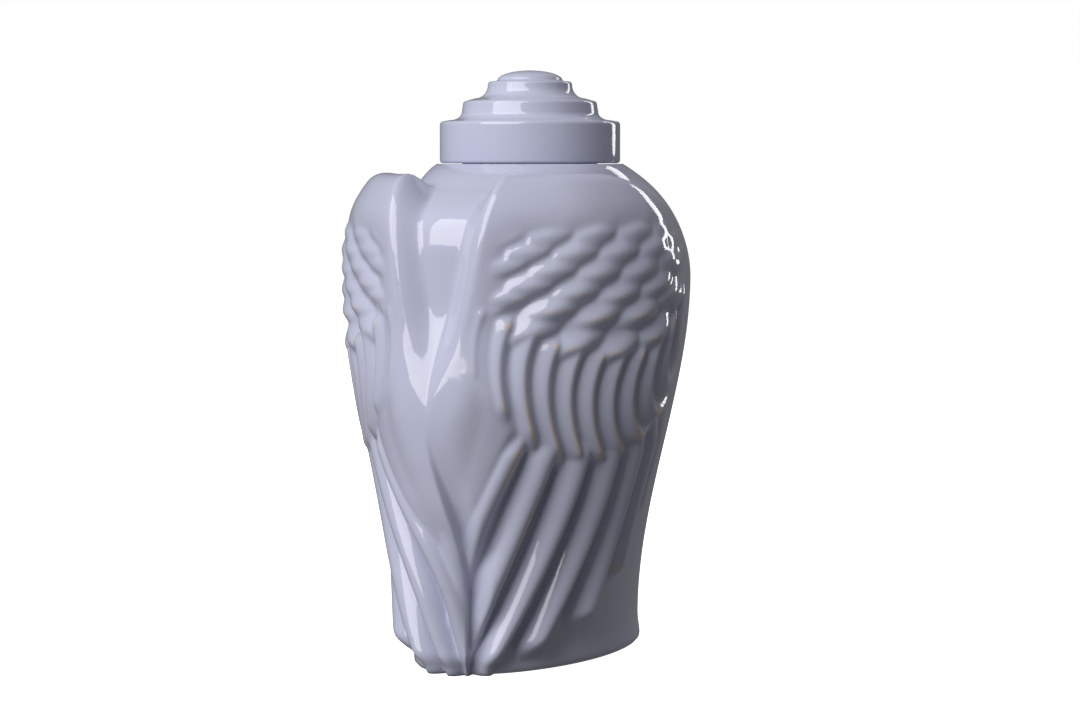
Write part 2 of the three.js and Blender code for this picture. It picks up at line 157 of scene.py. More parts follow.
body_tree = bpy.data.node_groups.new("urn body", "GeometryNodeTree")
body_tree.interface.new_socket("Geometry", in_out="OUTPUT", socket_type="NodeSocketGeometry")
height = size(body_tree, "Body height", BODY_HEIGHT)
foot_width = size(body_tree, "Foot half width", FOOT_HALF_WIDTH)
foot_depth = size(body_tree, "Foot half depth", FOOT_HALF_DEPTH)
shoulder_width = size(body_tree, "Shoulder half width", SHOULDER_HALF_WIDTH)
shoulder_depth = size(body_tree, "Shoulder half depth", SHOULDER_HALF_DEPTH)
shoulder_drop = size(body_tree, "Shoulder drop", SHOULDER_DROP)
seat_radius = size(body_tree, "Seat radius", SEAT_RADIUS)
wrap_radius = size(body_tree, "Wrap radius", 75)
meeting_height = size(body_tree, "Meeting height", 127)
wing_rear = size(body_tree, "Wing rear", 150)


def body_radii(z):
    """Half width and half depth of the plain body: it closes later in front than at the sides."""
    shoulder = height - shoulder_drop
    spread = smooth(STRAIGHT_FOOT, shoulder, z)
    close = maths("MAXIMUM", (z - shoulder) / shoulder_drop, 0)
    edge = maths("MAXIMUM", 1 - z / FOOT_EDGE_HEIGHT, 0)
    edge_rounding = FOOT_EDGE_DEPTH * (1 - maths("SQRT", 1 - edge * edge))
    foot = FOOT_FLARE * (1 - smooth(0, FOOT_FLARE_HEIGHT, z)) - edge_rounding
    half_width = mix(foot_width, shoulder_width, spread) + foot
    half_depth = mix(foot_depth, shoulder_depth, spread) + foot
    closed_width = mix(half_width, seat_radius, close ** SIDE_ROUNDNESS)
    closed_depth = mix(half_depth, seat_radius, close ** FRONT_ROUNDNESS)
    return closed_width, closed_depth


def feather(across, back, half_width, tip_length, base, ridge, roundness, crown=1, skew=0):
    """Thickness of one feather at a distance across from its ridge and back from its tip.

    The crown is the share of the ridge that is left. With a skew the ridge stands nearer to the rear
    edge, and the front flank is long and gentle.
    """
    beyond = maths("MAXIMUM", tip_length - back, 0) / tip_length
    side = maths("MAXIMUM", across / (half_width * (1 - skew)), across / (half_width * (-1 - skew)))
    swell = 1 - maths("SQRT", side * side + beyond * beyond) ** roundness
    return base + ridge * (crown * maths("MAXIMUM", swell, 0) + maths("MINIMUM", swell, 0))


def row_edge(along, lowest, lowest_along, front_rise, rear_rise):
    """Height of a row's lower edge: lowest at one place, and rising to the front and to the rear."""
    off = along - lowest_along
    rise = choose(maths("LESS_THAN", off, 0), front_rise, rear_rise)
    return lowest + rise * off * off


MIDDLE_LOWEST_ALONG = 70
MIDDLE_REAR_RISE = 0.0105
SMALL_LOWEST_ALONG = 78
SMALL_REAR_RISE = 0.0195
middle_lowest = size(body_tree, "Middle row lowest", 104)
middle_front_rise = size(body_tree, "Middle row front rise", 0.0146)
small_lowest = size(body_tree, "Small rows lowest", 158)
small_front_rise = size(body_tree, "Small rows front rise", 0.0065)


def middle_edge(along):
    return row_edge(along, middle_lowest, MIDDLE_LOWEST_ALONG, middle_front_rise, MIDDLE_REAR_RISE)


def small_edge(along):
    return row_edge(along, small_lowest, SMALL_LOWEST_ALONG, small_front_rise, SMALL_REAR_RISE)


# The long feathers are counted from the front. Their bow swells and shrinks again as half a sine wave
# over the first ones, and their tips rise ever faster.
LONG_FEATHERS = 7
LONG_ROOT_HEIGHT = 115
LONG_ROOT_FIRST = 37
LONG_FOOT_HEIGHT = 10
LONG_FOOT_PITCH = 12.5
LONG_FOOT_SPREAD = 1.9
LONG_TIP_RISE = 40
LONG_TIP_FROM = 22
LONG_TIP_REACH = 88
LONG_TIP_BEND = 1.8
LONG_BOW = 9
LONG_BOW_START = 0.2
LONG_BOW_SPAN = 5
LONG_BOW_END = 5.5
LONG_TIP_LENGTH = 11
LONG_ROUNDNESS = 2.1
LONG_SKEW = 0.2
LONG_TOP_FADE = (110, 140)


def long_feathers(along, z):
    """Long feathers lie ever further round the foot, end ever higher, and bow back on their way down."""
    root_height = size(body_tree, "Long feather root height", LONG_ROOT_HEIGHT)
    root_first = size(body_tree, "Long feather first root", LONG_ROOT_FIRST)
    root_pitch = size(body_tree, "Long feather root pitch", 15.9)
    thickness = size(body_tree, "Long feather thickness", 12)
    half_width = size(body_tree, "Long feather half width", 9.4)
    length = root_height - LONG_FOOT_HEIGHT
    down = (root_height - z) / length

    def lay(k, thickest):
        root = root_first + root_pitch * k
        foot = LONG_FOOT_PITCH * k + LONG_FOOT_SPREAD * k * k
        tip_share = maths("MAXIMUM", foot - LONG_TIP_FROM, 0) / LONG_TIP_REACH
        from_tip = z - LONG_TIP_RISE * tip_share ** LONG_TIP_BEND
        swell = maths("SINE", (k - LONG_BOW_START) * (math.pi / LONG_BOW_SPAN))
        bow = LONG_BOW * swell * maths("LESS_THAN", k, LONG_BOW_END)
        centre = mix(root, foot, down) + bow * 4 * down * (1 - down)
        slant = (root - foot) / length
        across = (along - centre) / maths("SQRT", 1 + slant * slant)
        one = feather(across, from_tip, half_width, LONG_TIP_LENGTH, 0, thickness,
                      LONG_ROUNDNESS, skew=LONG_SKEW)
        return maths("MAXIMUM", thickest, one)

    return repeat(body_tree, LONG_FEATHERS, lay) - thickness * smooth(*LONG_TOP_FADE, z)


# The middle feathers are counted from the front too. All bow forwards by as much, and each leans more
# than the one before it. The row sinks away above, under the small ones, and behind.
MIDDLE_FEATHERS = 11
MIDDLE_LENGTH = 40
MIDDLE_LEAN = 1.2
MIDDLE_LEAN_START = 0.35
MIDDLE_BOW = 2.5
MIDDLE_TIP_LENGTH = 9
MIDDLE_BASE = 7.5
MIDDLE_ROUNDNESS = 1.5
MIDDLE_SKEW = 0.35
MIDDLE_SUNK = 9
MIDDLE_SUNK_REACH = 0.3
MIDDLE_REAR_FADE = (118, 132)


def middle_feathers(along, z):
    """A row of upright feathers under the small ones, each lying a little more to the rear."""
    first = size(body_tree, "Middle feather first", 20.5)
    pitch = size(body_tree, "Middle feather pitch", 9.6)
    half_width = size(body_tree, "Middle feather half width", 6.2)
    ridge = size(body_tree, "Middle feather ridge", 6)
    down = (small_edge(along) - z) / MIDDLE_LENGTH

    def lay(k, thickest):
        lean = MIDDLE_LEAN * k * (down * down - MIDDLE_LEAN_START * down)
        bow = MIDDLE_BOW * 4 * down * (1 - down)
        centre = first + pitch * k + lean - bow
        from_tip = z - middle_edge(centre)
        one = feather(along - centre, from_tip, half_width, MIDDLE_TIP_LENGTH, MIDDLE_BASE, ridge,
                      MIDDLE_ROUNDNESS, skew=MIDDLE_SKEW)
        return maths("MAXIMUM", thickest, one)

    sunk_above = MIDDLE_SUNK * smooth(0, MIDDLE_SUNK_REACH, -1 * down)
    sunk_behind = MIDDLE_SUNK * smooth(*MIDDLE_REAR_FADE, along)
    return repeat(body_tree, MIDDLE_FEATHERS, lay) - sunk_above - sunk_behind


# The rows of small feathers lie closer towards the top. The feathers flatten towards the top, the
# front and the rear, lean to the rear, and end in a slanting tip.
SMALL_ROWS = 7
SMALL_PER_ROW = 6
SMALL_ROW_BEND = 0.75
SMALL_FRONT_FADE = (10, 54)
SMALL_FRONT_SLANT = 2
SMALL_REAR_FADE = (90, 120)
SMALL_FLATTER = 0.6
SMALL_LEAN = 0.2
SMALL_SLOPE = 0.45
SMALL_SLOPE_FROM = 3
SMALL_TIP_SLANT = 0.55
SMALL_TIP_LENGTH = 8
SMALL_BASE = 11.5
SMALL_ROUNDNESS = 1.7
SMALL_MERGE = 0.5
ROUNDING_GUARD = 0.01


def small_feathers(along, z):
    """Seven rows of small feathers, each row set off by half a feather and sunk under the one above."""
    first = size(body_tree, "Small feather first", 22.5)
    pitch = size(body_tree, "Small feather pitch", 18.5)
    half_width = size(body_tree, "Small feather half width", 11)
    ridge = size(body_tree, "Small feather ridge", 4)
    top = size(body_tree, "Small rows top", 219)

    def lay(number, thickest):
        row = maths("FLOOR", number / SMALL_PER_ROW + ROUNDING_GUARD)
        share = (row / (SMALL_ROWS - 1)) ** SMALL_ROW_BEND
        centre = first + pitch * (number - SMALL_PER_ROW * row + maths("MODULO", row, 2) / 2)
        front = smooth(*SMALL_FRONT_FADE, centre - SMALL_FRONT_SLANT * row)
        rear = 1 - SMALL_FLATTER * smooth(*SMALL_REAR_FADE, centre)
        crown = front * (1 - SMALL_FLATTER * share) * rear
        back = z - mix(small_edge(centre), top, share)
        across = along - centre - SMALL_LEAN * back
        from_tip = back - SMALL_TIP_SLANT * across
        sunk = SMALL_SLOPE * maths("MAXIMUM", back - SMALL_SLOPE_FROM, 0)
        one = feather(across, from_tip, half_width, SMALL_TIP_LENGTH, SMALL_BASE, ridge,
                      SMALL_ROUNDNESS, crown)
        return maths("SMOOTH_MAX", thickest, one - sunk, SMALL_MERGE)

    return repeat(body_tree, SMALL_ROWS * SMALL_PER_ROW, lay)


# The core blends in above each row's lower edge, over a longer way down in front. Below the meeting
# point of the wings a panel fills the front up to the first long feather.
FRONT_DROP = 20
FRONT_TO_ROWS = (2, 32)
CORE_BLEND = 12
CORE_FRONT_BLEND = 52
CORE_BLEND_CHANGE = (4, 50)
MIDDLE_BLEND = 5
UNDER_SMALL = 6
UNDER_SMALL_ALONG = (16, 40)
UNDER_SMALL_TOP = (200, 226)
UNDER_MIDDLE_FRONT = 12.5
UNDER_MIDDLE = 6.5
UNDER_MIDDLE_ALONG = (20, 50)
PANEL_THICKNESS = 8
PANEL_RISE = (30, 90)
PANEL_EDGE = (-8, 6)
WING_FOOT_THICKNESS = 2.5
WING_FOOT_RISE = (0, 40)


def wing_core(along, z):
    """The smooth mass of the wing: full on its shoulder, thinner under each row of feathers."""
    upper_at = mix(meeting_height - FRONT_DROP, small_edge(along), smooth(*FRONT_TO_ROWS, along))
    reach_down = mix(CORE_FRONT_BLEND, CORE_BLEND, smooth(*CORE_BLEND_CHANGE, along))
    upper = smooth(-1 * reach_down, CORE_BLEND, z - upper_at)
    middle = smooth(-MIDDLE_BLEND, MIDDLE_BLEND, z - middle_edge(along))
    under_small = smooth(*UNDER_SMALL_ALONG, along) * (1 - smooth(*UNDER_SMALL_TOP, z))
    thickness = size(body_tree, "Wing thickness", 13) - UNDER_SMALL * under_small
    under_middle = mix(UNDER_MIDDLE_FRONT, UNDER_MIDDLE, smooth(*UNDER_MIDDLE_ALONG, along))
    first_slant = LONG_ROOT_FIRST / (LONG_ROOT_HEIGHT - LONG_FOOT_HEIGHT)
    before_first = 1 - smooth(*PANEL_EDGE, along - (z - LONG_FOOT_HEIGHT) * first_slant)
    panel = PANEL_THICKNESS * smooth(*PANEL_RISE, z) * before_first
    under_long = WING_FOOT_THICKNESS * smooth(*WING_FOOT_RISE, z) + panel
    return mix(mix(under_long, under_middle, middle), thickness, upper)


# The left wing's front edge is one more long feather. Both wings stand out more in front, above all
# where they meet, and swell into a lobe beside the lid.
EDGE_FEATHER_ALONG = 5
EDGE_FEATHER_TIP = 16
EDGE_FEATHER_HALF_WIDTH = 11
EDGE_FEATHER_TIP_LENGTH = 13
EDGE_FEATHER_ROUNDNESS = 2
ROW_MERGE = 0.8
FRONT_FADE = (8, 55)
FRONT_LOWER = 8
FRONT_LOWER_END = 175
FRONT_UPPER = 2
FRONT_UPPER_FULL = 170
LOBE_RISE = (190, 220)
LOBE_FRONT = (30, 70)
LOBE_REAR = (80, 135)


def wing_thickness(from_middle, along, z, right):
    """Thickness of a wing at a place on it: the thickest of its rows and its core, with front and lobe."""
    edge = feather(from_middle - EDGE_FEATHER_ALONG, z - EDGE_FEATHER_TIP, EDGE_FEATHER_HALF_WIDTH,
                   EDGE_FEATHER_TIP_LENGTH, 0, size(body_tree, "Edge feather thickness", 9.4),
                   EDGE_FEATHER_ROUNDNESS)
    rows = [long_feathers(along, z), edge * (1 - right), middle_feathers(along, z), small_feathers(along, z)]
    mass = largest(rows + [wing_core(along, z)], ROW_MERGE)
    front = 1 - smooth(*FRONT_FADE, along)
    lower = smooth(0, meeting_height, z) * (1 - smooth(meeting_height, FRONT_LOWER_END, z))
    upper = smooth(meeting_height, FRONT_UPPER_FULL, z)
    lobe = size(body_tree, "Lobe thickness", 3) * smooth(*LOBE_RISE, z)
    lobe = lobe * smooth(*LOBE_FRONT, along) * (1 - smooth(*LOBE_REAR, along))
    return mass + (FRONT_LOWER * lower + FRONT_UPPER * upper) * front + lobe


# The V between the wings has its point here, and these slopes part its sides below and above it.
VALLEY_POINT = 160
VALLEY_SLOPE_BELOW = 0.364
VALLEY_SLOPE = 0.17
VALLEY_TOP_SPREAD = 24
VALLEY_TOP_BEND = 8


def valley_edge(z):
    """Distance of the wing's front edge from the middle of the V, which opens wide at the lobes."""
    over = z - VALLEY_POINT
    slope = choose(maths("LESS_THAN", over, 0), over * VALLEY_SLOPE_BELOW, over * VALLEY_SLOPE)
    opening = maths("MAXIMUM", over / (height - VALLEY_POINT), 0) ** VALLEY_TOP_BEND
    return slope + VALLEY_TOP_SPREAD * opening


# The right wing tucks under the left one below the meeting point. The lobes end in a round top, lower
# behind. The floor of the V rises to its point, and has a notch beside the lid, below the rim.
WING_REAR_FADE = 60
TUCK_DEPTH = 0.62
TUCK_FADE = 75
TUCK_FOOT = (2, 16)
TUCK_WIDTH = 14
LOBE_TOP_DROP = 9.5
LOBE_REAR_DROP = 12
LOBE_DROP_ALONG = (75, 135)
LOBE_ROUND = 9
VALLEY_SIDE = 12
VALLEY_FLOOR = 5
VALLEY_FLOOR_BELOW_RIM = (5, 45)
VALLEY_POINT_RISE = 13
VALLEY_RISE_END = 185
NOTCH_DEPTH = 3.5
NOTCH_START_BELOW_RIM = (0, 10)
NOTCH_END_BELOW_RIM = (14, 32)


def relief(across_middle, around, z):
    """How far the wings stand out of the plain body, the left one over the right one at the foot."""
    from_middle = maths("ABSOLUTE", across_middle)
    right = maths("GREATER_THAN", across_middle, 0)
    along = choose(right, maths("MAXIMUM", around, 0), from_middle)
    thickness = wing_thickness(from_middle, along, z, right)
    rear = 1 - smooth(wing_rear - WING_REAR_FADE, wing_rear, along)
    tuck = TUCK_DEPTH * right * smooth(0, TUCK_FADE, meeting_height - z) * smooth(*TUCK_FOOT, z)
    lower = thickness * mix(1 - tuck, 1, smooth(0, TUCK_WIDTH, from_middle))
    lobe_top = height - LOBE_TOP_DROP - LOBE_REAR_DROP * smooth(*LOBE_DROP_ALONG, along)
    over_top = maths("MAXIMUM", z - lobe_top + LOBE_ROUND, 0) / LOBE_ROUND
    rounded = maths("SQRT", maths("MAXIMUM", 1 - over_top * over_top, 0))
    inner = smooth(0, VALLEY_SIDE, from_middle - valley_edge(z))
    below_rim = height - z
    notch = smooth(*NOTCH_START_BELOW_RIM, below_rim) * (1 - smooth(*NOTCH_END_BELOW_RIM, below_rim))
    deep = (VALLEY_FLOOR * smooth(*VALLEY_FLOOR_BELOW_RIM, below_rim)
            + VALLEY_POINT_RISE * (1 - smooth(meeting_height, VALLEY_RISE_END, z)) - NOTCH_DEPTH * notch)
    upper = mix(maths("MINIMUM", deep, thickness), thickness, inner * rounded)
    return choose(maths("LESS_THAN", z, meeting_height), lower, upper) * rear


# The mesh has columns round the body and rows up the wall, out under the foot and down the inside.
COLUMNS = 440
WALL_ROWS = 190
UNDER_ROWS = 6
INSIDE_ROWS = 18
WING_SHARE = 0.9
ROW_CROWDING = 1.25
INSIDE_CROWDING = 1.2
MERGE_DISTANCE = 2e-5


def grid(tree, rows):
    """A flat grid that each part of the body is bent from: its turn runs from -1 to 1, its row from 0."""
    links = {"Size X": 2, "Size Y": rows, "Vertices X": COLUMNS + 1, "Vertices Y": rows + 1}
    mesh = add_node(tree, "GeometryNodeMeshGrid", links).outputs["Mesh"]
    position = add_node(tree, "GeometryNodeInputPosition").outputs[0]
    parts = add_node(tree, "ShaderNodeSeparateXYZ", {0: position}).outputs
    return mesh, Field(parts["X"]), Field(parts["Y"]) + rows / 2


def spaced(turn):
    """Distance round the body from its front line: columns lie close on the wings and wide behind them."""
    share = maths("ABSOLUTE", turn)
    on_wing = maths("MINIMUM", share / WING_SHARE, 1) * wing_rear
    rear_length = wrap_radius * math.pi - wing_rear
    behind = maths("MAXIMUM", (share - WING_SHARE) / (1 - WING_SHARE), 0) * rear_length
    return (on_wing + behind) * maths("SIGN", turn)


OVERLAP_SHIFT = 17
OVERLAP_FADE = 95
OVERLAP_ACROSS = (30, 90)


def seam_shift(across_middle, z):
    """How far the line between the wings moves to the right below the height where they meet."""
    below = smooth(0, OVERLAP_FADE, meeting_height - z)
    beside = smooth(*OVERLAP_ACROSS, maths("ABSOLUTE", across_middle))
    return OVERLAP_SHIFT * below * (1 - beside)


def place(tree, mesh, x, y, z):
    """Move a grid's points to a place given in millimetres."""
    metres = add_node(tree, "ShaderNodeCombineXYZ", {"X": x * MM, "Y": y * MM, "Z": z * MM})
    return add_node(tree, "GeometryNodeSetPosition", {"Geometry": mesh, "Position": metres.outputs[0]})


def blurred(tree, value, times):
    return Field(add_node(tree, "GeometryNodeBlurAttribute", {0: value, "Iterations": times}).outputs[0])


LEVEL_FOOT = (0, 30)
SLOPE_STEP = 0.5


def wall_point(across_middle, z, thickness):
    """A point of the outside: the wings stand square to the wall, and straight out at the foot."""
    angle = (across_middle + seam_shift(across_middle, z)) / wrap_radius
    width, depth = body_radii(z)
    above = maths("MINIMUM", z + SLOPE_STEP, height)
    width_above, depth_above = body_radii(above)
    width_below, depth_below = body_radii(above - 2 * SLOPE_STEP)
    width_slope = (width_above - width_below) / (2 * SLOPE_STEP)
    depth_slope = (depth_above - depth_below) / (2 * SLOPE_STEP)
    sine = maths("SINE", angle)
    cosine = maths("COSINE", angle)
    out_x = depth * sine
    out_y = width * cosine
    out_z = (width * depth_slope * cosine * cosine + depth * width_slope * sine * sine) * smooth(*LEVEL_FOOT, z)
    share = thickness / maths("SQRT", out_x * out_x + out_y * out_y + out_z * out_z)
    return width * sine + out_x * share, -1 * depth * cosine - out_y * share, z - out_z * share


# The outside. The glaze rounds the carving a little, and thins where a ridge stands over its
# surroundings, which the difference of two blurs tells.
GLAZE_BLUR = 1
THINNING_BLUR = 6
THINNING_ALONG = (20, 32)
THINNING_FOOT = (24, 44)
THINNING_TOP = (205, 220)

wall_mesh, turn, row = grid(body_tree, WALL_ROWS)
across_middle = spaced(turn)
z = height * (1 - (1 - row / WALL_ROWS) ** ROW_CROWDING)
around = across_middle + seam_shift(across_middle, z)
carved = relief(across_middle, around, maths("MAXIMUM", z, FOOT_EDGE_HEIGHT))
glazed = blurred(body_tree, carved, GLAZE_BLUR)
feathered = smooth(*THINNING_ALONG, maths("ABSOLUTE", across_middle))
feathered = feathered * smooth(*THINNING_FOOT, z) * (1 - smooth(*THINNING_TOP, z))
thinning = add_node(body_tree, "GeometryNodeStoreNamedAttribute", {
    "Geometry": wall_mesh, "Name": "glaze_thinning",
    "Value": (glazed - blurred(body_tree, carved, THINNING_BLUR)) * feathered})
wall = place(body_tree, thinning.outputs[0], *wall_point(across_middle, z, glazed))

# The underside. It stands on a rim, and its middle is raised.
RECESS_ROWS = 3
RECESS_SHARE = 0.9
RECESS_DEPTH = 1.8

under_mesh, turn, row = grid(body_tree, UNDER_ROWS)
across_middle = spaced(turn)
ground = 0 * turn
around = across_middle + seam_shift(across_middle, ground)
foot_relief = relief(across_middle, around, ground + FOOT_EDGE_HEIGHT)
foot_x, foot_y, _ = wall_point(across_middle, ground, blurred(body_tree, foot_relief, GLAZE_BLUR))
in_recess = maths("MINIMUM", row / RECESS_ROWS, 1)
on_rim = maths("MAXIMUM", row - RECESS_ROWS, 0) / (UNDER_ROWS - RECESS_ROWS)
outwards = in_recess * RECESS_SHARE + on_rim * (1 - RECESS_SHARE)
recess = RECESS_DEPTH * (1 - smooth(RECESS_ROWS, RECESS_ROWS + 1, row))
underside = place(body_tree, under_mesh, foot_x * outwards, foot_y * outwards, recess)

# The inside. Rows 0 to 3 cross the seat, bevel the mouth's edge and go down the mouth. The rest go
# down the hollow to its floor, and the last one closes the floor in the middle.
LIP_ROWS = 4
MOUTH_BEVEL = 1
MOUTH_DEPTH = 7
HOLLOW_DROP = 16


def past(row, number):
    """1 on the rows after this one, and 0 on the rows up to it."""
    return maths("GREATER_THAN", row, number + 0.5)


inside_mesh, turn, row = grid(body_tree, INSIDE_ROWS)
angle = spaced(turn) / wrap_radius
mouth_edge = mix(seat_radius, MOUTH_RADIUS + MOUTH_BEVEL, maths("MINIMUM", row, 1))
lip_radius = mouth_edge - MOUTH_BEVEL * past(row, 1)
lip_z = height - MOUTH_BEVEL * past(row, 1) - MOUTH_DEPTH * past(row, 2)
down_share = maths("MAXIMUM", row - LIP_ROWS, 0) / (INSIDE_ROWS - LIP_ROWS - 1)
inner_z = mix(height - HOLLOW_DROP, FLOOR_THICKNESS, maths("MINIMUM", down_share, 1) ** INSIDE_CROWDING)
inner_width, inner_depth = body_radii(inner_z)
open_floor = 1 - past(row, INSIDE_ROWS - 1)
in_hollow = past(row, LIP_ROWS - 1)
ring_width = choose(in_hollow, (inner_width - WALL) * open_floor, lip_radius)
ring_depth = choose(in_hollow, (inner_depth - WALL) * open_floor, lip_radius)
inside = place(body_tree, inside_mesh, ring_width * maths("SINE", angle),
               ring_depth * maths("COSINE", angle) * -1, choose(in_hollow, inner_z, lip_z))

joined = add_node(body_tree, "GeometryNodeJoinGeometry")
for part in (wall, underside, inside):
    body_tree.links.new(part.outputs[0], joined.inputs[0])
closed = add_node(body_tree, "GeometryNodeMergeByDistance", {
    "Geometry": joined.outputs[0], "Distance": MERGE_DISTANCE})
rounded = add_node(body_tree, "GeometryNodeSetShadeSmooth", {"Geometry": closed.outputs[0]})

# The glaze. Its colour drifts over a hand's width, and its surface is wavy like orange peel.
GLAZE_COLOURS = ("#b5b8ce", "#c0c2d6")
THIN_GLAZE = "#cdbfb6"
THIN_RANGE = (0.25, 0.6)
CLOUD_SIZE = 60
PEEL_SIZE = 14
PEEL_DEPTH = 0.6


def linear(sheet_colour):
    """Turn an sRGB hex colour into the linear values that a shader takes."""
    channels = [int(sheet_colour[i:i + 2], 16) / 255 for i in (1, 3, 5)]
    return [c / 12.92 if c <= 0.04045 else ((c + 0.055) / 1.055) ** 2.4 for c in channels] + [1]


def glaze(name, thinning_attribute):
    """White tin glaze over stoneware: cool where it lies thick, warm where it thins on a ridge."""
    material = bpy.data.materials.new(name)
    material.use_nodes = True
    tree = material.node_tree
    shader = tree.nodes["Principled BSDF"]
    shader.inputs["Roughness"].default_value = 0.07
    shader.inputs["IOR"].default_value = 1.52
    point = add_node(tree, "ShaderNodeTexCoord").outputs["Object"]
    clouds = {"Vector": point, "Scale": 1 / (CLOUD_SIZE * MM), "Detail": 3}
    cloud = add_node(tree, "ShaderNodeTexNoise", clouds)
    cloudy = add_node(tree, "ShaderNodeMix", {
        "Factor": cloud.outputs["Fac"], "A": linear(GLAZE_COLOURS[0]), "B": linear(GLAZE_COLOURS[1])},
        data_type="RGBA")
    colour = cloudy.outputs["Result"]
    if thinning_attribute:
        found = add_node(tree, "ShaderNodeAttribute", attribute_name=thinning_attribute).outputs["Fac"]
        thin = smooth(*THIN_RANGE, Field(found))
        broken = add_node(tree, "ShaderNodeMix", {"Factor": thin, "A": colour, "B": linear(THIN_GLAZE)},
                          data_type="RGBA")
        colour = broken.outputs["Result"]
    tree.links.new(colour, shader.inputs["Base Color"])
    pores = {"Vector": point, "Scale": 1 / (PEEL_SIZE * MM), "Detail": 2}
    peel = add_node(tree, "ShaderNodeTexNoise", pores)
    wavy = add_node(tree, "ShaderNodeBump", {
        "Strength": 0.25, "Distance": PEEL_DEPTH * MM, "Height": peel.outputs["Fac"]})
    tree.links.new(wavy.outputs[0], shader.inputs["Normal"])
    return material


body_glaze = glaze("white stoneware glaze", "glaze_thinning")
painted = add_node(body_tree, "GeometryNodeSetMaterial", {"Geometry": rounded.outputs[0], "Material": body_glaze})
real = add_node(body_tree, "GeometryNodeRealizeInstances", {"Geometry": painted.outputs[0]})
add_node(body_tree, "NodeGroupOutput", {0: real.outputs[0]})


def grow(name, tree):
    """Run a tree on an empty object, set by its named inputs, and keep the result as a plain mesh."""
    piece = bpy.data.objects.new(name, bpy.data.meshes.new(name))
    bpy.context.scene.collection.objects.link(piece)
    modifier = piece.modifiers.new(tree.name, "NODES")
    modifier.node_group = tree
    for item in tree.interface.items_tree:
        if item.in_out == "INPUT":
            modifier[item.identifier] = item.default_value
    depsgraph = bpy.context.evaluated_depsgraph_get()
    mesh = bpy.data.meshes.new_from_object(piece.evaluated_get(depsgraph), depsgraph=depsgraph)
    piece.modifiers.remove(modifier)
    piece.data = mesh
    return piece


body = grow("glazed_urn_body", body_tree)
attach(body, "root")
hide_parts("urn_body")

# Lid
# A hollow stepped cover of the same stoneware, turned round and glazed. It is loose: a flange under
# it drops into the mouth, and its band rests on the body's flat seat.
LID_SEAT = BODY_HEIGHT + 0.3
LID_RADIUS = 46.5
LID_HEIGHT = 47.7
LID_WALL = 5
LID_EDGE = 1.6
BAND_HEIGHT = 21.5
BAND_EDGE = 2.1
BAND_MIDDLE = 10
TIER_HOLLOW = 6.4
MIDDLE_TIER_RADIUS = 35.2
MIDDLE_TIER_FOOT = 22.1
MIDDLE_TIER_WAIST = 26.3
MIDDLE_TIER_LEAN = 0.6
MIDDLE_TIER_EDGE = 2
MIDDLE_TIER_TOP = 32
UPPER_TIER_RADIUS = 21.7
UPPER_TIER_FOOT = 33.4
UPPER_TIER_TOP = 42
KNOB_RADIUS = 16.8
KNOB_FOOT = 42.6
KNOB_FOOT_SPREAD = 1.2
KNOB_FOOT_RISE = 0.4
FLANGE_CLEARANCE = 1.2
FLANGE_THICKNESS = 5
FLANGE_DEPTH = 12
FLANGE_BEVEL = 1
CEILING_FOOT = 18.5
CEILING_STEP_RADIUS = 24.2
SEAT_MIDDLE = 40
LID_SIDES = 160


def arc(start, end, bulge, steps):
    """A quarter turn between two points of a profile: a bulge of 1 rounds an edge and -1 hollows a foot."""
    points = []
    for i in range(1, steps + 1):
        turn = math.pi / 2 * i / steps
        flat, steep = 1 - math.cos(turn), math.sin(turn)
        across, up = (flat, steep) if bulge > 0 else (steep, flat)
        points.append((start[0] + (end[0] - start[0]) * across, start[1] + (end[1] - start[1]) * up))
    return points


